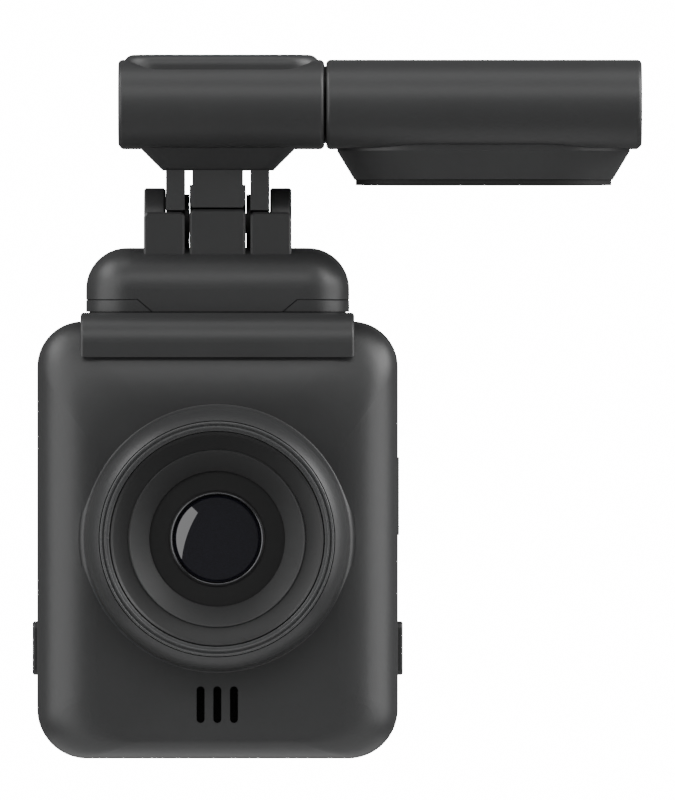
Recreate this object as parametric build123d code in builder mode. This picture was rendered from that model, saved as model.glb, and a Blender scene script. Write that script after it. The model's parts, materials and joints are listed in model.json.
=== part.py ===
"""Dash camera on an adhesive screen mount: swivel head, tilting magnetic dock and camera.

Frame: millimetres, +Z up, the lens looks along -Y. The origin is the centre of the adhesive face.
"""
import os
from math import cos, radians, sin

from build123d import *

os.makedirs("parts", exist_ok=True)

# ---- driving dimensions -------------------------------------------------------------------------
# Adhesive pad and the flared plate that carries it
pad_length = 38.9
pad_depth = 21.6
pad_thickness = 0.8
plate_flare = 2.6
plate_height = 5.5
# Slab section that the arm and the swivel head share
slab_depth = 35.0
slab_thickness = 13.25
slab_wall = 2.0
slab_end_fillet = 0.7
arm_length = 47.4
head_length = 30.95
head_gap = 0.25
cover_width = 29.6
cover_margin = 2.4
cover_height = 0.75
cover_corner = 5.5
cover_edge_round = 1.6
# Swivel between the arm and the head
swivel_shaft_radius = 3.0
swivel_bush_radius = 4.5
swivel_flange_radius = 4.8
swivel_nut_flats = 8.0
swivel_nut_thickness = 3.0
swivel_washer_thickness = 0.8
swivel_washer_room = 1.0
swivel_flange_thickness = 2.0
shaft_flange_radius = 4.2
shaft_flange_thickness = 2.5
shaft_tail = 1.0
spigot_margin = 0.8
spigot_length = 0.6
# Tilting hinge
camera_x = -40.0
hinge_drop = 5.7
foot_base_width = 23.2
foot_base_depth = 22.4
foot_height = 3.25
foot_corner = 3.5
lug_radius = 5.3
lug_width = 3.25
lug_gap = 15.7
middle_lug_width = 8.4
finger_radius = 4.35
web_width = 7.6
web_rear = 2.0
apron_reach = 8.2
apron_height = 3.4
apron_thickness = 3.2
apron_corner = 0.8
middle_stop = 2.0
side_stop = 1.6
lug_foot = 0.5
edge_round = 0.4
edge_ease = 0.3
washer_radius = 4.35
washer_thickness = 0.65
tilt_groove_play = 0.3
bolt_radius = 1.5
bolt_head_radius = 2.6
bolt_head_depth = 1.4
# Dock
dock_width = 39.6
dock_depth = 22.0
dock_height = 9.6
dock_top_drop = 3.75
dock_corner = 7.0
dock_top_round = 6.2
dock_wall = 1.8
dock_base_thickness = 1.85
tongue_width = 23.9
tongue_slope = 2.2
tongue_thickness = 2.4
seam = 0.2
key_block_width = 16.0
key_block_depth = 8.0
key_block_height = 1.2
magnet_radius = 4.0
magnet_thickness = 2.4
magnet_spacing = 25.0
contact_count = 5
contact_pitch = 2.0
contact_pin_radius = 0.45
socket_width = 7.6
socket_height = 2.8
# Camera
body_width = 54.2
body_height = 65.7
body_front = -16.0
body_rear = 12.5
body_top_radius = 6.9
body_bottom_radius = 7.5
body_wall = 2.0
front_edge_depth = 8.0
front_edge_top = 12.5
front_edge_side = 9.0
front_edge_bottom = 3.0
rear_edge_round = 4.0
rear_cover_depth = 8.5
saddle_width = 41.1
saddle_rear = 11.2
saddle_rise = 1.3
saddle_height = 6.7
saddle_front_round = 4.5
saddle_rear_round = 2.0
saddle_edge_round = 0.5
# Lens
lens_drop = 32.6
drum_radius = 19.9
drum_cove = 0.9
drum_length = 9.2
lip_radius = 17.6
trim_radius = 16.1
cone_radius = 13.35
retainer_radius = 10.1
glass_radius = 6.6
barrel_radius = 9.0
barrel_bore = 5.6
barrel_length = 11.75
holder_side = 23.0
holder_reach = 3.0
sensor_gap = 2.0
drum_land = 1.9
# Keys, grille and port
slot_count = 3
slot_pitch = 2.5
slot_width = 1.2
slot_length = 5.5
slot_drop = 57.5
side_button_height = 8.1
side_button_width = 3.6
side_button_proud = 0.75
side_button_drop = 49.15
rear_key_count = 4
rear_key_pitch = 11.0
rear_key_width = 8.5
rear_key_height = 4.5
rear_key_proud = 0.6
rear_key_drop = 53.0
flange_reach = 0.7
flange_thickness = 0.8
travel = 0.5
port_height = 11.7
port_width = 4.4
port_proud = 0.2
port_depth = 1.2
port_drop = 26.3
# Display, boards and battery
window_width = 48.0
window_height = 37.0
window_thickness = 1.2
window_drop = 26.5
screen_width = 42.0
screen_height = 31.8
display_thickness = 2.4
board_thickness = 1.2
board_side_margin = 4.1
board_top_margin = 9.2
board_foot_margin = 4.5
board_setback = 2.1
card_socket_height = 14.0
battery_width = 34.0
battery_height = 12.0
battery_thickness = 5.2
speaker_radius = 6.5
speaker_thickness = 3.2
speaker_room = 2.2
speaker_foot = 1.5
# Fasteners and fits
screw_radius = 1.0
screw_head_radius = 1.9
screw_head_depth = 1.3
screw_slot_depth = 0.7
arm_screw_length = 10.0
dock_screw_length = 4.0
housing_screw_length = 9.0
housing_screw_inset = 6.0
housing_screw_seat = 2.5
boss_wall = 1.3
slip = 0.1
running = 0.05
side_play = 0.08
key_play = 0.2
seat_play = 0.15
part_gap = 0.3

# ---- places worked out from them ----------------------------------------------------------------
swivel_z = plate_height + slab_thickness / 2
slab_top = plate_height + slab_thickness
slab_round = slab_thickness / 2 - 0.01
slab_flat_depth = slab_depth - 2 * slab_round
arm_left = -arm_length / 2
head_right = arm_left - head_gap
spigot_radius = slab_thickness / 2 - spigot_margin
recess_depth = spigot_length + part_gap - head_gap
head_x = head_right - head_length / 2
cover_depth = slab_depth - 2 * cover_margin
cover_seat = swivel_z + (slab_round**2 - (cover_depth / 2 - slab_flat_depth / 2) ** 2) ** 0.5
foot_bottom = plate_height - foot_height
foot_tip_width = foot_base_width - 2 * foot_height
foot_tip_depth = foot_base_depth - 2 * foot_height
hinge_z = -hinge_drop
dock_top = hinge_z - dock_top_drop
dock_bottom = dock_top - dock_height
dock_parting = dock_bottom + dock_base_thickness
saddle_top = dock_bottom - seat_play
body_top = saddle_top - saddle_rise
body_bottom = body_top - body_height
body_depth = body_rear - body_front
edge_start = body_front + front_edge_depth
split_y = body_rear - rear_cover_depth
lens_z = body_top - lens_drop
lip_y = body_front - drum_length
board_y = split_y - board_setback
board_width = body_width - 2 * board_side_margin
board_height = body_height - board_top_margin - board_foot_margin
key_z = body_top - rear_key_drop
side_button_z = body_top - side_button_drop
side_button_y = -2.0
port_z = body_top - port_drop
port_y = board_y - 1.0
window_z = body_top - window_drop
grille_z = body_top - slot_drop


def front_plane(y):
    """Plane facing the front (-Y) at the given depth; its own x and y are the part's X and Z."""
    return Plane.XZ.offset(-y)


def side_plane(x):
    """Plane facing +X at the given place; its own x and y are the part's Y and Z."""
    return Plane.YZ.offset(x)


def save(piece, name):
    """Label a finished piece and write its STEP file."""
    piece.part.label = name
    export_step(piece.part, f"parts/{name}.step")


def slab(x_from, x_to):
    """The rounded slab section of the arm and head, drawn across X."""
    with BuildPart() as body:
        with BuildSketch(side_plane(x_from)):
            with Locations((0, swivel_z)):
                SlotOverall(slab_depth, slab_thickness)
        extrude(amount=x_to - x_from)
    return body


def screws(plane, spots, length, name):
    """A group of equal pan-head screws whose heads stand on the plane and shanks go into it."""
    with BuildPart() as group:
        with BuildSketch(plane):
            with Locations(spots):
                Circle(screw_head_radius)
        extrude(amount=screw_head_depth)
        with BuildSketch(plane):
            with Locations(spots):
                Circle(screw_radius)
        extrude(amount=-length)
        with BuildSketch(plane.offset(screw_head_depth)):
            with Locations(spots):
                Rectangle(2.2, 0.6)
                Rectangle(0.6, 2.2)
        extrude(amount=-screw_slot_depth, mode=Mode.SUBTRACT)
    save(group, name)


# ---- arm, fixed to the glass --------------------------------------------------------------------
with BuildPart() as adhesive_pad:
    with BuildSketch():
        SlotOverall(pad_length - 0.4, pad_depth - 0.4)
    extrude(amount=pad_thickness)
save(adhesive_pad, "adhesive_pad")

arm_screw_spots = [(sx * 12.0, sy * 6.5) for sx in (-1, 1) for sy in (-1, 1)]
arm_opening = (arm_length - 10.0, slab_flat_depth - 2.0)

arm_slab = slab(arm_left, -arm_left)

with BuildPart() as pad_plate:
    with BuildSketch(Plane.XY.offset(pad_thickness)):
        SlotOverall(pad_length, pad_depth)
    with BuildSketch(Plane.XY.offset(plate_height - 0.4)):
        SlotOverall(pad_length + 2 * plate_flare, pad_depth + 2 * plate_flare)
    loft()
    with BuildSketch(Plane.XY.offset(plate_height - 0.4)):
        SlotOverall(pad_length + 2 * plate_flare, pad_depth + 2 * plate_flare)
    extrude(amount=1.2)
    add(arm_slab.part, mode=Mode.SUBTRACT)
    with BuildSketch(Plane.XY.offset(plate_height - 0.4)):
        RectangleRounded(arm_opening[0] - 2 * slip, arm_opening[1] - 2 * slip, 2.0)
    extrude(amount=slab_wall + 0.4)
    with BuildSketch(Plane.XY.offset(pad_thickness)):
        with Locations(arm_screw_spots):
            Circle(screw_head_radius + slip)
    extrude(amount=screw_head_depth + slip, mode=Mode.SUBTRACT)
    with BuildSketch(Plane.XY.offset(pad_thickness)):
        with Locations(arm_screw_spots):
            Circle(screw_radius + slip)
    extrude(amount=plate_height + slab_wall, mode=Mode.SUBTRACT)
save(pad_plate, "pad_plate")

with BuildPart() as arm_shell:
    add(arm_slab.part)
    fillet(edges().filter_by(GeomType.LINE, reverse=True), slab_end_fillet)
    with BuildSketch(Plane.XY.offset(plate_height + slab_wall)):
        Rectangle(arm_length - 2 * slab_wall, slab_flat_depth)
    extrude(amount=slab_thickness - 2 * slab_wall, mode=Mode.SUBTRACT)
    with BuildSketch(Plane.XY.offset(plate_height)):
        RectangleRounded(*arm_opening, 2.0)
    extrude(amount=slab_wall, mode=Mode.SUBTRACT)
    # spigot that runs in the head's recess and closes the joint to view
    with BuildSketch(side_plane(arm_left)):
        with Locations((0, swivel_z)):
            Circle(spigot_radius)
    extrude(amount=-spigot_length)
    with BuildSketch(side_plane(arm_left - spigot_length)):
        with Locations((0, swivel_z)):
            Circle(swivel_shaft_radius + slip)
    extrude(amount=spigot_length + slab_wall, mode=Mode.SUBTRACT)
    with BuildSketch(Plane.XY.offset(plate_height + slab_wall + slip)):
        with Locations(arm_screw_spots):
            Circle(screw_radius + slip + boss_wall)
            Circle(screw_radius + slip, mode=Mode.SUBTRACT)
    extrude(amount=slab_thickness - 2 * slab_wall)
save(arm_shell, "arm_shell")
screws(
    Plane.XY.offset(pad_thickness + screw_head_depth).rotated((180, 0, 0)),
    arm_screw_spots,
    arm_screw_length,
    "arm_screws",
)

# Swivel shaft: flange inside the arm wall, journal through the bush, thread for the nut
shaft_flange_x = arm_left + slab_wall
bush_inner_x = head_right - slab_wall - swivel_flange_thickness
bush_length = head_right - recess_depth - bush_inner_x
washer_x = bush_inner_x - swivel_washer_room
nut_x = washer_x - swivel_nut_thickness
with BuildPart() as swivel_shaft:
    with BuildSketch(side_plane(nut_x - shaft_tail)):
        with Locations((0, swivel_z)):
            Circle(swivel_shaft_radius)
    extrude(amount=shaft_flange_x + shaft_flange_thickness - (nut_x - shaft_tail))
    with BuildSketch(side_plane(shaft_flange_x)):
        with Locations((0, swivel_z)):
            Circle(shaft_flange_radius)
    extrude(amount=shaft_flange_thickness)
save(swivel_shaft, "swivel_shaft")

with BuildPart() as swivel_washer:
    with BuildSketch(side_plane(washer_x)):
        with Locations((0, swivel_z)):
            Circle(swivel_flange_radius)
            Circle(swivel_shaft_radius + slip, mode=Mode.SUBTRACT)
    extrude(amount=swivel_washer_thickness)
save(swivel_washer, "swivel_washer")

with BuildPart() as swivel_nut:
    with BuildSketch(side_plane(nut_x)):
        with Locations((0, swivel_z)):
            RegularPolygon(swivel_nut_flats / 2, 6, major_radius=False)
            Circle(swivel_shaft_radius + slip, mode=Mode.SUBTRACT)
    extrude(amount=swivel_nut_thickness)
save(swivel_nut, "swivel_nut")

# ---- swivel head --------------------------------------------------------------------------------
with BuildPart() as swivel_bush:
    with BuildSketch(side_plane(bush_inner_x)):
        with Locations((0, swivel_z)):
            Circle(swivel_flange_radius)
    extrude(amount=swivel_flange_thickness - slip)
    with BuildSketch(side_plane(bush_inner_x)):
        with Locations((0, swivel_z)):
            Circle(swivel_bush_radius)
    extrude(amount=bush_length)
    with BuildSketch(side_plane(bush_inner_x)):
        with Locations((0, swivel_z)):
            Circle(swivel_shaft_radius + running)
    extrude(amount=bush_length, mode=Mode.SUBTRACT)
save(swivel_bush, "swivel_bush")



def hinge_tab(x_from, width, radius, reach):
    """A round-ended plate of the hinge with eased edges, reaching up or down from the axis."""
    with BuildPart() as tab:
        with BuildSketch(side_plane(x_from)):
            with Locations((0, hinge_z)):
                Circle(radius)
            with Locations((0, hinge_z + reach / 2)):
                Rectangle(2 * radius, abs(reach))
        extrude(amount=width)
        chamfer(faces().sort_by(Axis.X)[0].edges(), edge_ease)
        chamfer(faces().sort_by(Axis.X)[-1].edges(), edge_ease)
    return tab


cavity_z = swivel_z - swivel_flange_radius - part_gap
finger_outer = lug_gap / 2 - side_play
finger_inner = middle_lug_width / 2 + side_play + washer_thickness
finger_width = finger_outer - finger_inner
finger_reach = foot_bottom + 2 * edge_ease - hinge_z
fingers = [
    hinge_tab(camera_x + side * finger_inner, side * finger_width, finger_radius, finger_reach)
    for side in (-1, 1)
]
bar_z = hinge_z + side_stop + part_gap
apron_z = hinge_z + middle_stop + part_gap
with BuildPart() as head_shell:
    add(slab(head_right - head_length, head_right).part)
    fillet(edges().filter_by(GeomType.LINE, reverse=True), slab_end_fillet)
    # seat of the top cover
    with BuildSketch(Plane.XY.offset(cover_seat)):
        with Locations((head_x, 0)):
            RectangleRounded(cover_width, cover_depth, cover_corner)
    extrude(amount=slab_thickness, mode=Mode.SUBTRACT)
    # room for the swivel nut
    with BuildSketch(Plane.XY.offset(cavity_z)):
        with Locations((head_x, 0)):
            Rectangle(head_length - 2 * slab_wall, slab_flat_depth)
    extrude(amount=cover_seat - cavity_z, mode=Mode.SUBTRACT)
    with BuildSketch(side_plane(head_right)):
        with Locations((0, swivel_z)):
            Circle(swivel_bush_radius + slip / 2)
    extrude(amount=-slab_wall, mode=Mode.SUBTRACT)
    with BuildSketch(side_plane(head_right)):
        with Locations((0, swivel_z)):
            Circle(spigot_radius + running)
    extrude(amount=-recess_depth, mode=Mode.SUBTRACT)
    # flared foot under the slab
    with BuildSketch(Plane.XY.offset(plate_height)):
        with Locations((camera_x, 0)):
            RectangleRounded(foot_base_width, foot_base_depth, foot_corner)
    with BuildSketch(Plane.XY.offset(foot_bottom)):
        with Locations((camera_x, 0)):
            RectangleRounded(foot_tip_width, foot_tip_depth, foot_corner / 2)
    loft()
    # two fingers of the hinge, each with a bar in front
    for finger in fingers:
        add(finger.part)
    for side in (-1, 1):
        with BuildSketch(front_plane(-apron_reach)):
            with Locations((camera_x + side * (finger_inner + finger_outer) / 2, (bar_z + foot_bottom) / 2)):
                Rectangle(finger_outer - finger_inner, foot_bottom - bar_z)
        extrude(amount=-apron_reach)
    # middle web and the wider apron that meets the dock's stop block
    with BuildSketch(side_plane(camera_x - web_width / 2)):
        with Locations(((web_rear - apron_reach) / 2, (apron_z + foot_bottom) / 2)):
            Rectangle(web_rear + apron_reach, foot_bottom - apron_z)
    extrude(amount=web_width)
    with BuildSketch(front_plane(-apron_reach)) as apron:
        with Locations((camera_x, apron_z + apron_height / 2)):
            Rectangle(middle_lug_width, apron_height)
        fillet(apron.vertices().group_by(Axis.Y)[0], apron_corner)
    extrude(amount=-apron_thickness)
    with BuildSketch(side_plane(camera_x - middle_lug_width / 2)):
        with Locations((0, hinge_z)):
            Circle(lug_radius + part_gap)
    extrude(amount=middle_lug_width, mode=Mode.SUBTRACT)
    with BuildSketch(side_plane(camera_x - finger_outer)):
        with Locations((0, hinge_z)):
            Circle(bolt_radius + running)
    extrude(amount=2 * finger_outer, mode=Mode.SUBTRACT)
save(head_shell, "head_shell")

with BuildPart() as head_top_cover:
    with BuildSketch(Plane.XY.offset(cover_seat)):
        with Locations((head_x, 0)):
            RectangleRounded(cover_width - slip, cover_depth - slip, cover_corner - slip / 2)
    extrude(amount=slab_top + cover_height - cover_seat)
    fillet(faces().sort_by(Axis.Z)[-1].edges(), cover_edge_round)
save(head_top_cover, "head_top_cover")

with BuildPart() as hinge_washers:
    for side in (-1, 1):
        with BuildSketch(side_plane(camera_x + side * finger_inner)):
            with Locations((0, hinge_z)):
                Circle(washer_radius)
                Circle(bolt_radius + running, mode=Mode.SUBTRACT)
        extrude(amount=-side * washer_thickness)
save(hinge_washers, "hinge_washers")

# ---- dock ---------------------------------------------------------------------------------------
lug_outer = lug_gap / 2 + lug_width
with BuildPart() as dock_form:
    with BuildSketch(Plane.XY.offset(dock_bottom)):
        with Locations((camera_x, 0)):
            RectangleRounded(dock_width, dock_depth, dock_corner)
    extrude(amount=dock_height)
    fillet(faces().sort_by(Axis.Z)[-1].edges(), dock_top_round)

with BuildPart() as dock_cavity:
    with BuildSketch(Plane.XY.offset(dock_parting)):
        with Locations((camera_x, 0)):
            RectangleRounded(dock_width - 2 * dock_wall, dock_depth - 2 * dock_wall, dock_corner - dock_wall)
    extrude(amount=dock_top - dock_wall - dock_parting)
    fillet(faces().sort_by(Axis.Z)[-1].edges(), dock_top_round - dock_wall)


def tongue(grow):
    """The trapezoid tongue of the upper shell, or with grow the notch that it lies in."""
    half = tongue_width / 2 + grow
    with BuildPart() as made:
        with BuildSketch(front_plane(-dock_depth / 2)):
            with BuildLine():
                Polyline(
                    (camera_x - half, dock_parting),
                    (camera_x + half, dock_parting),
                    (camera_x + half - tongue_slope, dock_bottom),
                    (camera_x - half + tongue_slope, dock_bottom),
                    close=True,
                )
            make_face()
        extrude(amount=-tongue_thickness - grow)
    return made


dock_tongue = tongue(0)
tongue_notch = tongue(seam)

dock_screw_spots = [(camera_x + sx * 15.2, sy * 6.0) for sx in (-1, 1) for sy in (-1, 1)]
socket_z = dock_parting + slip + socket_height / 2
dock_board_z = socket_z + socket_height / 2
with BuildPart() as dock_bosses:
    with BuildSketch(Plane.XY.offset(dock_parting)):
        with Locations(dock_screw_spots):
            Circle(screw_radius + slip + boss_wall)
    extrude(amount=dock_height)
    add(dock_form.part, mode=Mode.INTERSECT)


def stop_block(x_centre, width, rise, inner_reach):
    """A block on the dock's roof in front of the hinge that stops the dock from tipping forward."""
    foot_z = dock_top - dock_wall + 2 * slip
    top_z = hinge_z + rise
    with BuildPart() as block:
        with BuildSketch(front_plane(-apron_reach)) as face:
            with Locations((camera_x + x_centre, (foot_z + top_z) / 2)):
                Rectangle(width, top_z - foot_z)
            fillet(face.vertices().group_by(Axis.Y)[-1], apron_corner)
        extrude(amount=-(apron_reach - inner_reach))
        chamfer(faces().sort_by(Axis.Y)[0].edges(), edge_ease)
    return block


side_block_x = (finger_inner + lug_outer) / 2
side_block_width = lug_outer - finger_inner
side_block_reach = finger_radius + part_gap + slip
dock_lugs = [
    hinge_tab(camera_x + side * lug_gap / 2, side * lug_width, lug_radius, -dock_top_drop - lug_foot)
    for side in (-1, 1)
]
dock_lugs.append(
    hinge_tab(camera_x - middle_lug_width / 2, middle_lug_width, lug_radius, -dock_top_drop - lug_foot)
)
stop_blocks = [
    stop_block(side * side_block_x, side_block_width, side_stop, side_block_reach) for side in (-1, 1)
]
stop_blocks.append(stop_block(0, middle_lug_width, middle_stop, lug_foot))

with BuildPart() as dock_upper_shell:
    add(dock_form.part)
    split(bisect_by=Plane.XY.offset(dock_parting), keep=Keep.TOP)
    add(dock_cavity.part, mode=Mode.SUBTRACT)
    add(dock_bosses.part)
    add(dock_tongue.part)
    with BuildSketch(Plane.XY.offset(dock_parting)):
        with Locations(dock_screw_spots):
            Circle(screw_radius + slip)
    extrude(amount=dock_screw_length + 0.5, mode=Mode.SUBTRACT)
    for piece in dock_lugs + stop_blocks:
        add(piece.part)
    # grooves in the roof that the round ends of the fingers and washers turn in
    for side in (-1, 1):
        with BuildSketch(side_plane(camera_x + side * middle_lug_width / 2)):
            with Locations((0, hinge_z)):
                Circle(washer_radius + tilt_groove_play)
        extrude(amount=side * (lug_gap - middle_lug_width) / 2, mode=Mode.SUBTRACT)
    # bolt hole, head recess and nut recess
    with BuildSketch(side_plane(camera_x - lug_outer)):
        with Locations((0, hinge_z)):
            Circle(bolt_radius + running)
    extrude(amount=2 * lug_outer, mode=Mode.SUBTRACT)
    with BuildSketch(side_plane(camera_x + lug_outer)):
        with Locations((0, hinge_z)):
            Circle(bolt_head_radius + slip)
    extrude(amount=-bolt_head_depth - slip, mode=Mode.SUBTRACT)
    with BuildSketch(side_plane(camera_x - lug_outer)):
        with Locations((0, hinge_z)):
            RegularPolygon(bolt_head_radius + slip, 6, major_radius=False)
    extrude(amount=bolt_head_depth + slip, mode=Mode.SUBTRACT)
    # mouth of the power inlet in the rear wall
    with BuildSketch(front_plane(dock_depth / 2)):
        with Locations((camera_x, socket_z)):
            RectangleRounded(socket_width + 2 * slip, socket_height + 2 * slip, 0.6)
    extrude(amount=dock_wall + 0.5, mode=Mode.SUBTRACT)
save(dock_upper_shell, "dock_upper_shell")

contact_spots = [(camera_x + (i - (contact_count - 1) / 2) * contact_pitch, 0) for i in range(contact_count)]
with BuildPart() as dock_base_plate:
    add(dock_form.part)
    split(bisect_by=Plane.XY.offset(dock_parting), keep=Keep.BOTTOM)
    chamfer(faces().sort_by(Axis.Z)[-1].edges(), seam)
    add(tongue_notch.part, mode=Mode.SUBTRACT)
    with BuildSketch(Plane.XY.offset(dock_bottom)):
        with Locations((camera_x, 0)):
            RectangleRounded(key_block_width, key_block_depth, 1.5)
    extrude(amount=-key_block_height)
    with BuildSketch(Plane.XY.offset(dock_parting)):
        with Locations(contact_spots):
            Circle(contact_pin_radius + running)
    extrude(amount=-dock_base_thickness - key_block_height, mode=Mode.SUBTRACT)
    with BuildSketch(Plane.XY.offset(dock_bottom)):
        with Locations(dock_screw_spots):
            Circle(screw_head_radius + slip)
    extrude(amount=screw_head_depth + slip, mode=Mode.SUBTRACT)
    with BuildSketch(Plane.XY.offset(dock_bottom)):
        with Locations(dock_screw_spots):
            Circle(screw_radius + slip)
    extrude(amount=dock_base_thickness, mode=Mode.SUBTRACT)
save(dock_base_plate, "dock_base_plate")
screws(
    Plane.XY.offset(dock_bottom + screw_head_depth).rotated((180, 0, 0)),
    [(x, -y) for x, y in dock_screw_spots],
    dock_screw_length,
    "dock_screws",
)

with BuildPart() as hinge_bolt:
    with BuildSketch(side_plane(camera_x + lug_outer - bolt_head_depth)):
        with Locations((0, hinge_z)):
            Circle(bolt_head_radius)
    extrude(amount=bolt_head_depth)
    with BuildSketch(side_plane(camera_x + lug_outer)):
        with Locations((0, hinge_z)):
            RegularPolygon(1.25, 6)
    extrude(amount=-0.9, mode=Mode.SUBTRACT)
    with BuildSketch(side_plane(camera_x + lug_outer - bolt_head_depth)):
        with Locations((0, hinge_z)):
            Circle(bolt_radius)
    extrude(amount=-(2 * lug_outer - bolt_head_depth - 0.2))
save(hinge_bolt, "hinge_bolt")

with BuildPart() as hinge_nut:
    with BuildSketch(side_plane(camera_x - lug_outer)):
        with Locations((0, hinge_z)):
            RegularPolygon(bolt_head_radius, 6, major_radius=False)
            Circle(bolt_radius + running, mode=Mode.SUBTRACT)
    extrude(amount=bolt_head_depth)
save(hinge_nut, "hinge_nut")

with BuildPart() as dock_magnets:
    with BuildSketch(Plane.XY.offset(dock_parting)):
        with Locations((camera_x, 0)):
            with GridLocations(magnet_spacing, 1, 2, 1):
                Circle(magnet_radius)
    extrude(amount=magnet_thickness)
save(dock_magnets, "dock_magnets")

with BuildPart() as dock_board:
    with BuildSketch(Plane.XY.offset(dock_board_z)):
        with Locations((camera_x, 1.0)):
            RectangleRounded(24.0, 14.0, 1.0)
    extrude(amount=1.0)
save(dock_board, "dock_board")

with BuildPart() as dock_contact_pins:
    with BuildSketch(Plane.XY.offset(dock_bottom - key_block_height - part_gap + slip)):
        with Locations(contact_spots):
            Circle(contact_pin_radius)
    extrude(amount=dock_board_z - (dock_bottom - key_block_height - part_gap + slip))
save(dock_contact_pins, "dock_contact_pins")

with BuildPart() as gps_antenna:
    with BuildSketch(Plane.XY.offset(dock_board_z + 1.0)):
        with Locations((camera_x, 0)):
            Rectangle(12.0, 9.0)
    extrude(amount=dock_top - dock_wall - (dock_board_z + 1.0) - slip)
save(gps_antenna, "gps_antenna")

with BuildPart() as power_socket:
    with BuildSketch(front_plane(dock_depth / 2 - 0.4)):
        with Locations((camera_x, socket_z)):
            RectangleRounded(socket_width, socket_height, 0.5)
    extrude(amount=7.0)
    with BuildSketch(front_plane(dock_depth / 2 - 0.4)):
        with Locations((camera_x, socket_z)):
            RectangleRounded(socket_width - 0.8, socket_height - 0.8, 0.3)
    extrude(amount=5.5, mode=Mode.SUBTRACT)
    with BuildSketch(front_plane(dock_depth / 2 - 1.2)):
        with Locations((camera_x, socket_z)):
            Rectangle(socket_width - 2.6, 0.6)
    extrude(amount=5.0)
save(power_socket, "power_socket")

# ---- camera housing -----------------------------------------------------------------------------


def body_section(y, inset, side, top, bottom):
    """One front-view outline of the camera body at depth y, drawn in from each edge."""
    low = body_bottom + inset + bottom
    high = body_top - inset - top
    with BuildSketch(front_plane(y)) as section:
        with Locations((camera_x, (low + high) / 2)):
            Rectangle(body_width - 2 * inset - 2 * side, high - low)
        fillet(section.vertices().group_by(Axis.Y)[-1], body_top_radius - inset)
        fillet(section.vertices().group_by(Axis.Y)[0], body_bottom_radius - inset)
    return section.sketch


def body_form(inset):
    """The whole camera body as one closed form, with wide elliptical front edges."""
    depth = front_edge_depth - inset
    sections = []
    for angle in (0, 12, 25, 40, 55, 70, 81, 90):
        turn = 1 - cos(radians(angle))
        y = edge_start - depth * sin(radians(angle))
        sections.append(
            body_section(y, inset, front_edge_side * turn, front_edge_top * turn, front_edge_bottom * turn)
        )
    with BuildPart() as form:
        loft(sections=sections)
        extrude(to_extrude=sections[0], amount=-(body_rear - inset - edge_start))
        fillet(faces().sort_by(Axis.Y)[-1].edges(), rear_edge_round - inset / 2)
    return form


camera_form = body_form(0)
camera_cavity = body_form(body_wall)
lens_axis = Axis((camera_x, 0, lens_z), (0, 1, 0))
lens_plane = Plane(origin=(camera_x, 0, lens_z), x_dir=(1, 0, 0), z_dir=(0, 0, 1))


def turned(points, name):
    """A ring turned about the lens axis from (radius, depth) points."""
    with BuildPart() as ring:
        with BuildSketch(lens_plane):
            with BuildLine():
                Polyline(*points, close=True)
            make_face()
        revolve(axis=lens_axis)
    save(ring, name)


# Lens drum: cove at the foot, steep wall, rounded shoulder and a flat seat for the bezel
seat_y = lip_y + 2.2
drum_root = body_front + body_wall / 2
with BuildPart() as lens_drum:
    with BuildSketch(lens_plane):
        with BuildLine():
            foot = (drum_radius + drum_cove, body_front + 0.25)
            wall_low = (drum_radius, body_front - 1.2)
            wall_high = (drum_radius - 0.4, body_front - 5.4)
            crest = (lip_radius + 0.1, lip_y + 0.25)
            Polyline((trim_radius + drum_land, drum_root), (drum_radius + drum_cove, drum_root), foot)
            TangentArc(foot, wall_low, tangent=(-1, 0))
            Line(wall_low, wall_high)
            TangentArc(wall_high, crest, tangent=(-0.2, -1))
            Polyline(
                crest,
                (lip_radius + slip / 2, seat_y),
                (trim_radius + slip / 2, seat_y),
                (trim_radius + slip / 2, seat_y + 1.6),
                (trim_radius + drum_land, seat_y + 3.4),
                (trim_radius + drum_land, drum_root),
            )
        make_face()
    revolve(axis=lens_axis)

with BuildPart() as lens_room:
    with BuildSketch(front_plane(body_front + 2 * body_wall)):
        with Locations((camera_x, lens_z)):
            Circle(trim_radius + drum_land)
    extrude(amount=2 * body_wall + sensor_gap)

saddle_bottom = saddle_top - saddle_height
saddle_front = -dock_depth / 2 - saddle_front_round
saddle_depth = saddle_rear - saddle_front
saddle_y = (saddle_rear + saddle_front) / 2
with BuildPart() as saddle_form:
    with BuildSketch(Plane.XY.offset(saddle_bottom)):
        with Locations((camera_x, saddle_y)):
            Rectangle(saddle_width, saddle_depth)
    extrude(amount=saddle_height)
    fillet(edges().filter_by(Axis.X).group_by(Axis.Z)[-1].sort_by(Axis.Y)[0], saddle_front_round)
    fillet(edges().filter_by(Axis.X).group_by(Axis.Z)[-1].sort_by(Axis.Y)[-1], saddle_rear_round)
    fillet(faces().sort_by(Axis.X)[0].edges().filter_by(Plane.YZ), saddle_edge_round)
    fillet(faces().sort_by(Axis.X)[-1].edges().filter_by(Plane.YZ), saddle_edge_round)

magnet_spots = [(camera_x + s * magnet_spacing / 2, 0) for s in (-1, 1)]
key_pocket_depth = key_block_height + part_gap
saddle_skin = 1.5
with BuildPart() as camera_saddle:
    add(saddle_form.part)
    with BuildSketch(Plane.XY.offset(saddle_bottom)):
        with Locations((camera_x, 0)):
            Rectangle(saddle_width - 2 * body_wall, dock_depth - 2 * body_wall)
    extrude(amount=saddle_height - key_pocket_depth - saddle_skin, mode=Mode.SUBTRACT)
    with BuildSketch(Plane.XY.offset(saddle_top)):
        with Locations((camera_x, 0)):
            RectangleRounded(key_block_width + 2 * part_gap, key_block_depth + 2 * part_gap, 1.8)
    extrude(amount=-key_pocket_depth, mode=Mode.SUBTRACT)
    with BuildSketch(Plane.XY.offset(saddle_top - key_pocket_depth)):
        with Locations(contact_spots):
            Rectangle(1.3, 3.0)
    extrude(amount=-saddle_skin, mode=Mode.SUBTRACT)
save(camera_saddle, "camera_saddle")

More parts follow.
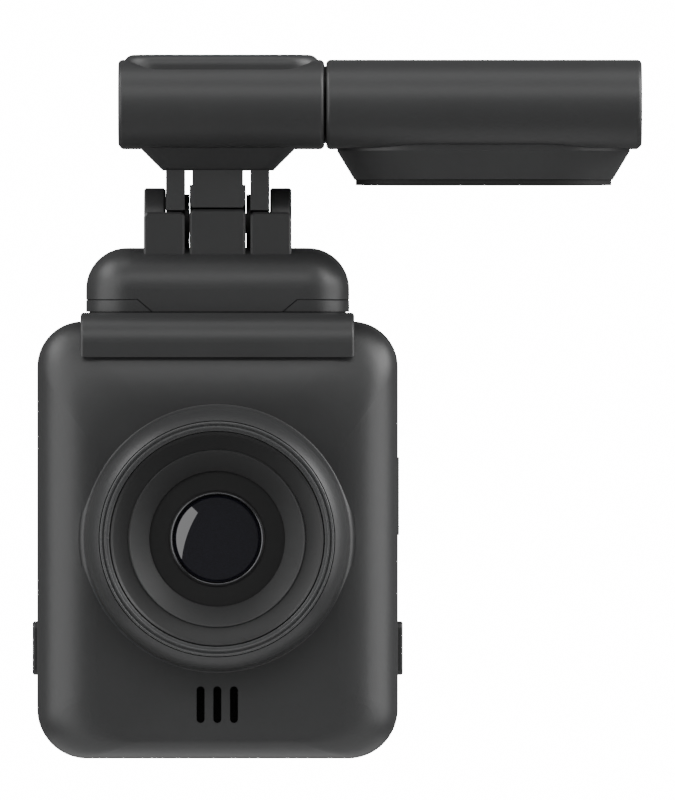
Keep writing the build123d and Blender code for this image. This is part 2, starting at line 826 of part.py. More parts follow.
with BuildPart() as contact_pads:
    with BuildSketch(Plane.XY.offset(saddle_top - key_pocket_depth - saddle_skin)):
        with Locations(contact_spots):
            Rectangle(1.3 - slip, 3.0 - slip)
    extrude(amount=saddle_skin)
save(contact_pads, "contact_pads")

with BuildPart() as camera_magnets:
    with BuildSketch(Plane.XY.offset(saddle_top - key_pocket_depth - saddle_skin)):
        with Locations(magnet_spots):
            Circle(magnet_radius)
    extrude(amount=-magnet_thickness)
save(camera_magnets, "camera_magnets")

housing_screw_x = body_width / 2 - housing_screw_inset
housing_screw_spots = [(camera_x + sx * housing_screw_x, body_bottom + housing_screw_inset) for sx in (-1, 1)]
with BuildPart() as housing_bosses:
    with BuildSketch(front_plane(split_y - slip)):
        with Locations(housing_screw_spots):
            Circle(screw_radius + slip + boss_wall)
    extrude(amount=body_depth)
    add(camera_form.part, mode=Mode.INTERSECT)

body_right = camera_x + body_width / 2
with BuildPart() as front_cover:
    add(camera_form.part)
    split(bisect_by=front_plane(split_y), keep=Keep.TOP)
    add(camera_cavity.part, mode=Mode.SUBTRACT)
    add(lens_drum.part)
    add(lens_room.part, mode=Mode.SUBTRACT)
    add(housing_bosses.part)
    add(saddle_form.part, mode=Mode.SUBTRACT)
    with BuildSketch(front_plane(split_y)):
        with Locations(housing_screw_spots):
            Circle(screw_radius + slip)
    extrude(amount=housing_screw_length, mode=Mode.SUBTRACT)
    # sound slots
    with BuildSketch(front_plane(body_front)):
        with Locations((camera_x, grille_z)):
            with GridLocations(slot_pitch, 1, slot_count, 1):
                SlotOverall(slot_length, slot_width, rotation=90)
    extrude(amount=-body_wall - 1.0, mode=Mode.SUBTRACT)
    # side button windows
    for side in (-1, 1):
        with BuildSketch(side_plane(camera_x + side * body_width / 2)):
            with Locations((side_button_y, side_button_z)):
                RectangleRounded(side_button_width + 2 * key_play, side_button_height + 2 * key_play, 1.4)
        extrude(amount=-side * body_wall, mode=Mode.SUBTRACT)
    # recess of the port flap and the card slot behind it
    with BuildSketch(side_plane(body_right)):
        with Locations((port_y, port_z)):
            RectangleRounded(port_width + 2 * key_play, port_height + 2 * key_play, 0.9)
    extrude(amount=-port_depth - key_play, mode=Mode.SUBTRACT)
    with BuildSketch(side_plane(body_right)):
        with Locations((port_y, port_z)):
            Rectangle(1.3, port_height - 0.4)
    extrude(amount=-body_wall, mode=Mode.SUBTRACT)
save(front_cover, "front_cover")

key_spots = [
    (camera_x + (i - (rear_key_count - 1) / 2) * rear_key_pitch, key_z) for i in range(rear_key_count)
]
with BuildPart() as rear_bosses:
    with BuildSketch(front_plane(split_y + slip)):
        with Locations(housing_screw_spots):
            Circle(screw_head_radius + boss_wall)
    extrude(amount=-body_depth)
    add(camera_form.part, mode=Mode.INTERSECT)
with BuildPart() as rear_cover:
    add(camera_form.part)
    split(bisect_by=front_plane(split_y), keep=Keep.BOTTOM)
    add(camera_cavity.part, mode=Mode.SUBTRACT)
    add(rear_bosses.part)
    add(saddle_form.part, mode=Mode.SUBTRACT)
    with BuildSketch(front_plane(split_y)):
        with Locations(housing_screw_spots):
            Circle(screw_radius + slip)
    extrude(amount=-rear_cover_depth, mode=Mode.SUBTRACT)
    with BuildSketch(front_plane(split_y + housing_screw_seat)):
        with Locations(housing_screw_spots):
            Circle(screw_head_radius + slip)
    extrude(amount=-rear_cover_depth, mode=Mode.SUBTRACT)
    # recess of the display window and the opening behind it
    with BuildSketch(front_plane(body_rear)):
        with Locations((camera_x, window_z)):
            RectangleRounded(window_width + 2 * slip, window_height + 2 * slip, 2.0)
    extrude(amount=window_thickness, mode=Mode.SUBTRACT)
    with BuildSketch(front_plane(body_rear)):
        with Locations((camera_x, window_z)):
            Rectangle(screen_width, screen_height)
    extrude(amount=body_wall, mode=Mode.SUBTRACT)
    with BuildSketch(front_plane(body_rear)):
        with Locations(key_spots):
            RectangleRounded(rear_key_width + 2 * key_play, rear_key_height + 2 * key_play, 1.6)
    extrude(amount=body_wall, mode=Mode.SUBTRACT)
save(rear_cover, "rear_cover")
screws(
    front_plane(split_y + housing_screw_seat).rotated((180, 0, 0)),
    [(x, -z) for x, z in housing_screw_spots],
    housing_screw_length,
    "housing_screws",
)

# ---- lens ---------------------------------------------------------------------------------------
cone_back = lip_y + 4.2
with BuildPart() as lens_bezel_ring:
    with BuildSketch(lens_plane):
        with Locations(((lip_radius + trim_radius + slip) / 2, (lip_y + seat_y) / 2)):
            Rectangle(lip_radius - trim_radius - slip, seat_y - lip_y)
    revolve(axis=lens_axis)
    fillet(faces().sort_by(Axis.Y)[0].edges(), 0.35)
save(lens_bezel_ring, "lens_bezel_ring")

turned(
    [
        (trim_radius, lip_y + 0.9),
        (trim_radius, seat_y + 1.4),
        (cone_radius + 0.9, seat_y + 1.4),
        (cone_radius, lip_y + 2.1),
        (cone_radius, lip_y + 1.5),
    ],
    "lens_trim_ring",
)
turned(
    [
        (cone_radius - 0.05, lip_y + 1.8),
        (cone_radius - 0.05, lip_y + 2.4),
        (cone_radius - 0.05, lip_y + 3.6),
        (retainer_radius + 1.0, cone_back + 1.6),
        (retainer_radius + 0.05, cone_back + 1.6),
        (retainer_radius + 0.05, cone_back),
    ],
    "lens_cone_ring",
)
turned(
    [
        (glass_radius, cone_back + 0.75),
        (glass_radius, cone_back + 1.7),
        (retainer_radius, cone_back + 1.7),
        (retainer_radius, cone_back + 0.3),
        (glass_radius + 0.45, cone_back + 0.3),
    ],
    "lens_retainer",
)
glass_seat = cone_back + 1.75
barrel_back = glass_seat + barrel_length
turned(
    [
        (glass_radius + 0.9, glass_seat),
        (barrel_radius, glass_seat),
        (barrel_radius, barrel_back),
        (barrel_bore, barrel_back),
        (barrel_bore, glass_seat + 1.6),
        (glass_radius + 0.9, glass_seat + 1.6),
    ],
    "lens_barrel",
)
with BuildPart() as front_glass:
    with BuildSketch(lens_plane):
        with BuildLine():
            rim = glass_radius - slip
            Polyline(
                (rim, cone_back + 1.0),
                (rim, glass_seat),
                (glass_radius + 0.8, glass_seat),
                (glass_radius + 0.8, glass_seat + 1.5),
                (0, glass_seat + 1.5),
                (0, cone_back - 0.6),
            )
            ThreePointArc((0, cone_back - 0.6), (rim * 0.55, cone_back - 0.12), (rim, cone_back + 1.0))
        make_face()
    revolve(axis=lens_axis)
save(front_glass, "front_glass")
with BuildPart() as inner_lens:
    with BuildSketch(front_plane(glass_seat + 4.0)):
        with Locations((camera_x, lens_z)):
            Circle(barrel_bore - slip)
    extrude(amount=-2.2)
save(inner_lens, "inner_lens")
with BuildPart() as lens_holder:
    with BuildSketch(front_plane(barrel_back - holder_reach)):
        with Locations((camera_x, lens_z)):
            RectangleRounded(holder_side, holder_side, 2.0)
            Circle(barrel_radius + slip, mode=Mode.SUBTRACT)
    extrude(amount=-holder_reach)
    with BuildSketch(front_plane(barrel_back)):
        with Locations((camera_x, lens_z)):
            RectangleRounded(holder_side, holder_side, 2.0)
            Rectangle(11.0, 11.0, mode=Mode.SUBTRACT)
    extrude(amount=-sensor_gap)
save(lens_holder, "lens_holder")
sensor_board_y = barrel_back + sensor_gap
with BuildPart() as sensor_board:
    with BuildSketch(front_plane(sensor_board_y)):
        with Locations((camera_x, lens_z)):
            Rectangle(holder_side, holder_side)
    extrude(amount=-1.0)
save(sensor_board, "sensor_board")
with BuildPart() as image_sensor:
    with BuildSketch(front_plane(sensor_board_y)):
        with Locations((camera_x, lens_z)):
            Rectangle(8.6, 7.4)
    extrude(amount=1.1)
save(image_sensor, "image_sensor")

# ---- boards, display, battery and sound ---------------------------------------------------------
board_z = body_bottom + board_foot_margin + board_height / 2
with BuildPart() as main_board:
    with BuildSketch(front_plane(board_y)):
        with Locations((camera_x, board_z)):
            Rectangle(board_width, board_height)
        with Locations(housing_screw_spots):
            Circle(screw_head_radius + boss_wall + part_gap, mode=Mode.SUBTRACT)
    extrude(amount=-board_thickness)
save(main_board, "main_board")
with BuildPart() as processor:
    with BuildSketch(front_plane(board_y)):
        with Locations((camera_x, lens_z)):
            Rectangle(13.0, 13.0)
    extrude(amount=1.3)
save(processor, "processor")
with BuildPart() as memory_card_socket:
    with BuildSketch(front_plane(board_y)):
        with Locations((body_right - body_wall - 0.4 - 7.5, port_z)):
            Rectangle(15.0, card_socket_height)
    extrude(amount=1.8)
    with BuildSketch(side_plane(body_right - body_wall - 0.4)):
        with Locations((port_y, port_z)):
            Rectangle(0.9, 11.2)
    extrude(amount=-13.0, mode=Mode.SUBTRACT)
save(memory_card_socket, "memory_card_socket")
with BuildPart() as microphone:
    with BuildSketch(front_plane(board_y)):
        with Locations((camera_x - 14.0, body_bottom + 8.0)):
            Rectangle(4.0, 3.0)
    extrude(amount=1.1)
save(microphone, "microphone")

display_y = body_rear - body_wall - slip
with BuildPart() as display_module:
    with BuildSketch(front_plane(display_y)):
        with Locations((camera_x, window_z)):
            Rectangle(screen_width + 3.0, screen_height + 4.0)
    extrude(amount=display_thickness)
save(display_module, "display_module")
with BuildPart() as display_window:
    with BuildSketch(front_plane(body_rear)):
        with Locations((camera_x, window_z)):
            RectangleRounded(window_width, window_height, 2.0 - slip)
    extrude(amount=window_thickness)
save(display_window, "display_window")
with BuildPart() as battery:
    with BuildSketch(front_plane(board_y - slip)):
        with Locations((camera_x, port_z + card_socket_height / 2 + part_gap + battery_height / 2)):
            RectangleRounded(battery_width, battery_height, 1.2)
    extrude(amount=battery_thickness)
save(battery, "battery")
with BuildPart() as speaker:
    with BuildSketch(front_plane(body_front + body_wall + speaker_room)):
        with Locations((camera_x, body_bottom + body_wall + speaker_foot + speaker_radius)):
            Circle(speaker_radius)
    extrude(amount=-speaker_thickness)
save(speaker, "speaker")

# ---- keys ---------------------------------------------------------------------------------------
key_foot_y = board_y + board_thickness + 2.2 + travel + slip
with BuildPart() as key_switches:
    with BuildSketch(front_plane(board_y + board_thickness)):
        with Locations(key_spots):
            Rectangle(4.5, 4.5)
    extrude(amount=-1.6)
    with BuildSketch(front_plane(board_y + board_thickness + 1.6)):
        with Locations(key_spots):
            Circle(1.0)
    extrude(amount=-0.6)
save(key_switches, "key_switches")
for number, spot in enumerate(key_spots, start=1):
    with BuildPart() as rear_key:
        with BuildSketch(front_plane(body_rear + rear_key_proud)):
            with Locations(spot):
                RectangleRounded(rear_key_width, rear_key_height, 1.4)
        extrude(amount=body_wall + rear_key_proud + slip)
        fillet(faces().sort_by(Axis.Y)[-1].edges(), 0.4)
        with BuildSketch(front_plane(body_rear - body_wall - slip)):
            with Locations(spot):
                Rectangle(rear_key_width + 2 * flange_reach, rear_key_height + 2 * flange_reach)
        extrude(amount=flange_thickness)
        with BuildSketch(front_plane(body_rear - body_wall - slip - flange_thickness)):
            with Locations(spot):
                Circle(1.2)
        extrude(amount=body_rear - body_wall - slip - flange_thickness - key_foot_y)
    save(rear_key, f"rear_key_{number}")

switch_width = 3.0
for side, word in ((-1, "left"), (1, "right")):
    wall_x = camera_x + side * body_width / 2
    with BuildPart() as side_button:
        with BuildSketch(side_plane(wall_x + side * side_button_proud)):
            with Locations((side_button_y, side_button_z)):
                RectangleRounded(side_button_width, side_button_height, 1.2)
        extrude(amount=-side * (side_button_proud + body_wall + slip))
        fillet(faces().sort_by(Axis((0, 0, 0), (side, 0, 0)))[-1].edges(), 0.35)
        with BuildSketch(side_plane(wall_x - side * (body_wall + slip))):
            with Locations((side_button_y, side_button_z)):
                Rectangle(side_button_width + 2 * flange_reach, side_button_height + 2 * flange_reach)
        extrude(amount=-side * flange_thickness)
    save(side_button, f"side_button_{word}")

switch_x = body_width / 2 - body_wall - slip - flange_thickness - travel - slip
with BuildPart() as side_switches:
    for side in (-1, 1):
        with BuildSketch(side_plane(camera_x + side * switch_x)):
            with Locations(((side_button_y - 1.5 + board_y) / 2, side_button_z)):
                Rectangle(board_y - side_button_y + 1.5, 4.0)
        extrude(amount=-side * switch_width)
save(side_switches, "side_switches")

with BuildPart() as port_flap:
    with BuildSketch(side_plane(body_right + port_proud)):
        with Locations((port_y, port_z)):
            RectangleRounded(port_width, port_height, 0.7)
    extrude(amount=-port_depth - port_proud + slip)
    with BuildSketch(side_plane(body_right + port_proud)):
        with Locations((port_y - port_width / 2, port_z)):
            Rectangle(0.8, 4.0)
    extrude(amount=-0.5, mode=Mode.SUBTRACT)
save(port_flap, "port_flap")
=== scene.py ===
# %% [markdown]
# # A dash camera on its screen mount
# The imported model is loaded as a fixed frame. Its nodes keep their shapes and places, and the pieces
# made below ride on its bodies. All lengths are metres, +Z is up and the lens looks along -Y.

# %% Load the frame
import json
from math import cos, pi, radians, sin

import bpy
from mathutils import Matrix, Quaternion, Vector


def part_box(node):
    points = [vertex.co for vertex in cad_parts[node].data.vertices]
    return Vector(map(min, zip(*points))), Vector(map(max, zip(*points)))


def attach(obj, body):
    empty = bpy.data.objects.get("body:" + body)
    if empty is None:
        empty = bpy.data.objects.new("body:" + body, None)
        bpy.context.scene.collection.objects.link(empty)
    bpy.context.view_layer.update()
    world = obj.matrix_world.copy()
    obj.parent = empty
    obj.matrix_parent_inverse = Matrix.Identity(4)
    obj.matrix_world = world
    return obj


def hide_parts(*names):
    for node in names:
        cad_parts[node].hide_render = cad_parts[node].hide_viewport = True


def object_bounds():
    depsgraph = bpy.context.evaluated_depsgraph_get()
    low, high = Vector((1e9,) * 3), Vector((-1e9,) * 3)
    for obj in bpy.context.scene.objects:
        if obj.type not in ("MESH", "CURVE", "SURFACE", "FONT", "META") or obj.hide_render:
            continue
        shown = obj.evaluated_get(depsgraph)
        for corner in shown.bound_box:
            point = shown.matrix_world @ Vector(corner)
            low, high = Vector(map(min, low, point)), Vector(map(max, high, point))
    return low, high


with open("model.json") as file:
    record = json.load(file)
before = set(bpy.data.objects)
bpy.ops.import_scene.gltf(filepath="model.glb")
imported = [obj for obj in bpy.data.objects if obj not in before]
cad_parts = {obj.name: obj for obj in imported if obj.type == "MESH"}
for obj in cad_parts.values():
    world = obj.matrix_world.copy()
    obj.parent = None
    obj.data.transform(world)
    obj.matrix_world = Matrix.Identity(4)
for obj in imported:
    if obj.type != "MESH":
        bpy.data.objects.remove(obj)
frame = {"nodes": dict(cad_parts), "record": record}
cad_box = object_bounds()
nodes = frame["nodes"]
MM = 0.001

# %% [markdown]
# ## Places read from the frame
# The lens axis, the rings of the lens and the keys are read from the boxes of the CAD nodes, so a new
# piece sits where the model says. The small steps inside a profile, the finishes and the lights further down
# were chosen.

# %% Places
bezel_low, bezel_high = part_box("lens_bezel_ring")
glass_low, glass_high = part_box("front_glass")
retainer_low, retainer_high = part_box("lens_retainer")
trim_low, trim_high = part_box("lens_trim_ring")
cone_low, cone_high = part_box("lens_cone_ring")
lens_x = (bezel_low.x + bezel_high.x) / 2
lens_z = (bezel_low.z + bezel_high.z) / 2
lip_y = bezel_low.y
print("lens axis at", round(lens_x, 4), round(lens_z, 4), "lip at", round(lip_y, 4))


# %% [markdown]
# ## Shader maths as expressions
# A material is a small graph. The class below wraps a socket, so that sums and products of sockets can be
# written as Python expressions, and one method makes any other node.

# %% The socket class
class Wire:
    """A node socket that adds Math nodes when it is used in an expression."""

    def __init__(self, tree, socket):
        self.tree = tree
        self.socket = socket

    def node(self, kind, output=0, settings=None, **inputs):
        made = self.tree.nodes.new(kind)
        for key, value in (settings or {}).items():
            setattr(made, key, value)
        for name, value in inputs.items():
            key = int(name[1:]) if name[1:].isdigit() else name.replace("_", " ")
            if isinstance(value, Wire):
                self.tree.links.new(value.socket, made.inputs[key])
            else:
                made.inputs[key].default_value = value
        return Wire(self.tree, made.outputs[output])

    def math(self, operation, a, b=0.0):
        return self.node("ShaderNodeMath", settings={"operation": operation}, i0=a, i1=b)

    def __add__(self, other):
        return self.math("ADD", self, other)

    def __sub__(self, other):
        return self.math("SUBTRACT", self, other)

    def __mul__(self, other):
        return self.math("MULTIPLY", self, other)

    __radd__ = __add__
    __rmul__ = __mul__

    def below(self, level):
        return self.math("LESS_THAN", self, level)

    def mix(self, low, high):
        """A colour between low and high, by this value."""
        return self.node(
            "ShaderNodeMix", output=2, settings={"data_type": "RGBA"}, i0=self, i6=low, i7=high
        )


def finish_named(name, **constants):
    """A new material, its shader node and a wire to start expressions from."""
    made = bpy.data.materials.new(name)
    made.use_nodes = True
    shader = made.node_tree.nodes["Principled BSDF"]
    for key, value in constants.items():
        shader.inputs[key.replace("_", " ")].default_value = value
    start = Wire(made.node_tree, None)
    place = start.node("ShaderNodeTexCoord", output=3)
    return made, shader, place


def feed(shader, **links):
    for key, wire in links.items():
        wire.tree.links.new(wire.socket, shader.inputs[key.replace("_", " ")])


def grey(value, tint=0.0):
    """A linear grey with a slight cool tint."""
    return (value, value * (1 + tint * 0.5), value * (1 + tint), 1.0)


def noise(place, scale, detail, roughness):
    return place.node("ShaderNodeTexNoise", Vector=place, Scale=scale, Detail=detail, Roughness=roughness)


def bump(place, height, strength, distance):
    return place.node("ShaderNodeBump", Height=height, Strength=strength, Distance=distance)


# %% [markdown]
# ## Moulded plastic
# The housing is a charcoal plastic with a fine spark-eroded texture. The grain is a small noise that feeds
# a Bump node, and a slower noise changes the roughness a little, as handling does. The colour shifts by a
# few percent so that large faces aren't flat.

# %% Plastic finishes
GRAIN_SCALE, GRAIN_DEPTH = 5200.0, 0.00002
COOL_TINT = 0.03


def moulded_plastic(name, shade, rough, grain=0.35):
    made, shader, place = finish_named(name, IOR=1.48)
    fine = noise(place, GRAIN_SCALE, 2.0, 0.55)
    slow = noise(place, 90.0, 4.0, 0.6)
    handled = noise(place, 420.0, 5.0, 0.65)
    feed(
        shader,
        Base_Color=slow.mix(grey(shade * 0.93, COOL_TINT), grey(shade * 1.08, COOL_TINT)),
        Roughness=rough - 0.05 + slow * 0.06 + handled * 0.05,
        Normal=bump(place, fine, grain, GRAIN_DEPTH),
    )
    return made


housing_finish = moulded_plastic("charcoal_plastic", 0.026, 0.40)
mount_finish = moulded_plastic("mount_plastic", 0.028, 0.42)
key_finish = moulded_plastic("key_plastic", 0.028, 0.36, grain=0.2)
cone_finish = moulded_plastic("cone_plastic", 0.016, 0.54, grain=0.25)
trim_finish = moulded_plastic("trim_plastic", 0.012, 0.38, grain=0.15)
bezel_finish = moulded_plastic("bezel_plastic", 0.045, 0.26, grain=0.08)
nylon_finish = moulded_plastic("black_nylon", 0.012, 0.45, grain=0.2)
ring_finish = moulded_plastic("dark_ring_plastic", 0.009, 0.46, grain=0.12)
annulus_finish = moulded_plastic("black_anodised_ring", 0.007, 0.42, grain=0.08)

# %% [markdown]
# ## Painted signs and the speaker cloth
# The signs on the keys are a lighter grey, slightly mottled. The cloth behind the sound slots is a plain
# weave: two wave patterns at right angles raise the threads.

# %% Sign and cloth finishes
sign_finish, sign_shader, place = finish_named("sign_paint")
wear = noise(place, 2600.0, 5.0, 0.7)
feed(sign_shader, Base_Color=wear.mix(grey(0.30), grey(0.42)), Roughness=wear * 0.15 + 0.42)
cloth_finish, cloth_shader, place = finish_named("speaker_cloth")
THREAD_SCALE = 700.0


def threads(place, direction):
    bands = {"bands_direction": direction}
    return place.node("ShaderNodeTexWave", output=1, Vector=place, Scale=THREAD_SCALE, settings=bands)


weave = threads(place, "X") * threads(place, "Z")
feed(
    cloth_shader,
    Base_Color=weave.mix(grey(0.001), grey(0.006)),
    Roughness=weave * 0.1 + 0.8,
    Normal=bump(place, weave, 0.6, 0.00005),
)

# %% [markdown]
# ## Metals, glass, rubber and boards
# Steel has a stretched noise for its turning marks, and the black anodised pieces share it. The lens glass is
# coated: a dark body under a clear coat, and its base colour has a painted sheen, lighter and bluer as the
# surface turns away.

# %% Metal finishes
TURNING_SCALE = (400.0, 9000.0, 400.0)


def turned_metal(name, shade, rough, metallic=1.0):
    made, shader, place = finish_named(name)
    stretched = place.node("ShaderNodeMapping", Vector=place, Scale=TURNING_SCALE)
    marks = noise(stretched, 1.0, 3.0, 0.6)
    spots = noise(place, 700.0, 4.0, 0.6)
    feed(
        shader,
        Base_Color=spots.mix(
            (*[c * 0.88 for c in shade], 1.0), (*[min(1.0, c * 1.06) for c in shade], 1.0)
        ),
        Roughness=rough + marks * 0.14 - 0.05,
        Normal=bump(place, marks, 0.15, 0.00002),
    )
    shader.inputs["Metallic"].default_value = metallic
    return made


steel_finish = turned_metal("turned_steel", (0.55, 0.55, 0.56), 0.28)
nickel_finish = turned_metal("nickel_plate", (0.68, 0.66, 0.62), 0.2)
gold_finish = turned_metal("gold_plate", (0.85, 0.62, 0.28), 0.22)
foil_finish = turned_metal("battery_wrap", (0.42, 0.43, 0.45), 0.35)
anodised_finish = turned_metal("black_anodised", (0.014, 0.014, 0.015), 0.34, metallic=0.6)
rim_finish = turned_metal("polished_rim", (0.10, 0.10, 0.105), 0.24)


# %% Rubber, tape and ceramic
def soft_finish(name, shade, rough, scale, strength):
    made, shader, place = finish_named(name)
    pores = noise(place, scale, 4.0, 0.7)
    feed(
        shader,
        Base_Color=pores.mix(grey(shade * 0.75), grey(shade * 1.2)),
        Roughness=rough + pores * 0.1 - 0.05,
        Normal=bump(place, pores, strength, 0.00006),
    )
    return made


rubber_finish = soft_finish("flap_rubber", 0.028, 0.55, 3800.0, 0.3)
tape_finish = soft_finish("foam_tape", 0.006, 0.75, 2400.0, 0.8)
chip_finish = soft_finish("chip_resin", 0.015, 0.5, 5000.0, 0.2)
ceramic_finish, ceramic_shader, place = finish_named("patch_ceramic")
specks = noise(place, 1500.0, 4.0, 0.7)
feed(
    ceramic_shader,
    Base_Color=specks.mix((0.42, 0.36, 0.24, 1), (0.55, 0.49, 0.36, 1)),
    Roughness=specks * 0.2 + 0.4,
)


# %% Circuit board
board_finish, board_shader, place = finish_named("solder_mask")
edges = {"feature": "DISTANCE_TO_EDGE"}
cells = place.node("ShaderNodeTexVoronoi", Vector=place, Scale=650.0, settings=edges)
tracks = cells.below(0.06)
feed(
    board_shader,
    Base_Color=tracks.mix((0.006, 0.05, 0.022, 1), (0.02, 0.11, 0.05, 1)),
    Roughness=tracks * 0.12 + 0.28,
    Normal=bump(place, tracks, 0.3, 0.00003),
)

# %% Glass, display and window
glass_finish, glass_shader, place = finish_named("coated_glass", IOR=1.52, Coat_Roughness=0.02)
dust = noise(place, 900.0, 5.0, 0.7)
# Painted sheen: the glass's base colour grows lighter and bluer towards grazing angles, in place of the
# coating's reflection.
painted_grazing_sheen = place.node("ShaderNodeLayerWeight", output=1, Blend=0.35)
feed(
    glass_shader,
    Base_Color=painted_grazing_sheen.mix((0.006, 0.006, 0.009, 1), (0.02, 0.022, 0.035, 1)),
    Roughness=dust * 0.03 + 0.02,
    Coat_Weight=dust * 0.1 + 0.85,
)
window_finish, window_shader, place = finish_named("smoked_window", IOR=1.5)
smears = noise(place, 160.0, 5.0, 0.6)
feed(
    window_shader,
    Base_Color=smears.mix((0.004, 0.004, 0.005, 1), (0.007, 0.007, 0.009, 1)),
    Roughness=smears * 0.06 + 0.04,
)
panel_finish, panel_shader, place = finish_named("display_panel")
dots = noise(place, 6000.0, 2.0, 0.5)
feed(panel_shader, Base_Color=dots.mix(grey(0.006, 0.1), grey(0.014, 0.2)), Roughness=dots * 0.1 + 0.15)
print("materials", len(bpy.data.materials))

# %% [markdown]
# ## Turned rings of the lens
# The lens is a set of rings on one axis. On a lathe each is one profile swept round. Here a ring of points is
# drawn, and each step of the profile extrudes it, scales it to the next radius and slides it to the next
# depth. That keeps every edge loop where the profile has a corner, so the bright crests stay crisp.

# %% Modelling helpers
LENS_STEPS = 144


def clear_selection():
    """Go to object mode with nothing selected."""
    if bpy.context.mode != "OBJECT":
        bpy.ops.object.mode_set(mode="OBJECT")
    bpy.ops.object.select_all(action="DESELECT")


def settle(piece, name, finish, body, smooth=30):
    """Close the doubles, point the faces outwards, bake the place into the mesh and ride it on its body."""
    bpy.ops.object.mode_set(mode="EDIT")
    bpy.ops.mesh.select_all(action="SELECT")
    bpy.ops.mesh.remove_doubles(threshold=0.000002)
    bpy.ops.mesh.normals_make_consistent(inside=False)
    bpy.ops.object.mode_set(mode="OBJECT")
    bpy.ops.object.transform_apply(location=True, rotation=True, scale=True)
    bpy.ops.object.shade_smooth_by_angle(angle=radians(smooth))
    piece.name = piece.data.name = name
    piece.data.materials.clear()
    piece.data.materials.append(finish)
    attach(piece, body)
    print(name, "faces", len(piece.data.polygons))
    return piece


def next_ring(centre_y, old, new):
    """Extrude the selected ring from one (radius, depth) to the next."""
    bpy.ops.mesh.extrude_edges_move()
    bpy.ops.transform.resize(value=(new[0] / old[0],) * 3, center_override=(lens_x, centre_y, lens_z))
    bpy.ops.transform.translate(value=(0, new[1] - old[1], 0))


def turned(name, profile, finish, solid=False):
    """Turn a profile of (radius, depth) in metres; a solid one starts and ends on the axis."""
    clear_selection()
    radius, depth = profile[0]
    bpy.ops.mesh.primitive_circle_add(
        vertices=LENS_STEPS, radius=radius, location=(lens_x, depth, lens_z), rotation=(radians(90), 0, 0)
    )
    piece = bpy.context.object
    bpy.ops.object.mode_set(mode="EDIT")
    if solid:
        bpy.ops.mesh.select_all(action="SELECT")
        bpy.ops.mesh.edge_face_add()
        bpy.ops.mesh.select_mode(type="EDGE")
    bpy.ops.mesh.select_all(action="SELECT")
    rest = profile[1:] if solid else profile[1:] + profile[:1]
    old = profile[0]
    for new in rest:
        next_ring(old[1], old, new)
        old = new
    if solid:
        bpy.ops.mesh.merge(type="CENTER")
    return settle(piece, name, finish, "camera")


# %% [markdown]
# ## Bezel, trim and cone
# The bezel is a narrow ring with two rounded crests and a groove between them, so it shows as two fine light
# lines. Inside it, a plain dark ring slopes back to a step, and a lighter cone falls from there to the glass.

# %% Bezel with two crests
lip_radius = (bezel_high.x - bezel_low.x) / 2
trim_radius = (trim_high.x - trim_low.x) / 2
bezel_inner = trim_radius + 0.05 * MM
bezel_back = bezel_high.y


def crest(radius, width, depth, top=0.0):
    """Points over one rounded crest, from its outer side to its inner side."""
    return [
        (radius + width * sin(radians(turn)), lip_y + top + depth * (1 - cos(radians(turn))))
        for turn in (80, 50, 25, 0, -25, -50, -80)
    ]


bezel = turned(
    "lens_bezel",
    [(lip_radius, bezel_back), (lip_radius, lip_y + 0.5 * MM)]
    + crest(lip_radius - 0.22 * MM, 0.20 * MM, 0.24 * MM)
    + [(lip_radius - 0.56 * MM, lip_y + 0.32 * MM)]
    + crest(bezel_inner + 0.58 * MM, 0.20 * MM, 0.22 * MM, 0.04 * MM)
    + [
        (bezel_inner + 0.2 * MM, lip_y + 0.5 * MM),
        (bezel_inner, lip_y + 0.7 * MM),
        (bezel_inner, bezel_back),
    ],
    bezel_finish,
)
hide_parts("lens_bezel_ring")

# %% Dark trim ring
trim_inner = (cone_high.x - cone_low.x) / 2 + 0.05 * MM
trim = turned(
    "lens_trim",
    [
        (trim_radius, trim_low.y + 0.12 * MM),
        (trim_radius, trim_high.y),
        (trim_inner + 0.9 * MM, trim_high.y),
        (trim_inner, trim_low.y + 1.5 * MM),
        (trim_inner, trim_low.y + 1.02 * MM),
        (trim_inner + 0.6 * MM, trim_low.y + 0.9 * MM),
        (trim_radius - 0.6 * MM, trim_low.y + 0.34 * MM),
        (trim_radius - 0.42 * MM, trim_low.y + 0.24 * MM),
        (trim_radius - 0.30 * MM, trim_low.y + 0.06 * MM),
        (trim_radius - 0.18 * MM, trim_low.y),
        (trim_radius - 0.06 * MM, trim_low.y + 0.04 * MM),
    ],
    ring_finish,
)
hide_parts("lens_trim_ring")

# %% Lighter cone
cone_outer = (cone_high.x - cone_low.x) / 2
cone_inner = (retainer_high.x - retainer_low.x) / 2 + 0.05 * MM
cone_step = 0.18 * MM
cone = turned(
    "lens_cone",
    [
        (cone_outer, cone_low.y + 0.1 * MM),
        (cone_outer, cone_low.y + 1.8 * MM),
        (cone_inner + 1.0 * MM, cone_high.y),
        (cone_inner, cone_high.y),
        (cone_inner, cone_high.y - 1.45 * MM),
        (cone_inner + 0.10 * MM, cone_high.y - 1.6 * MM),
        (cone_outer - 0.42 * MM, cone_low.y + cone_step),
        (cone_outer - 0.28 * MM, cone_low.y + 0.04 * MM),
        (cone_outer - 0.16 * MM, cone_low.y),
    ],
    cone_finish,
)
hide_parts("lens_cone_ring")

# %% [markdown]
# ## Retainer and front element
# A black retainer holds the glass. A fine polished ring is sunk into its inner lip and catches light as a
# thin line; it has no node of its own in the CAD. The front element is a shallow dome: a true sphere cap,
# because the long soft light has to draw one clean curved reflection in it.

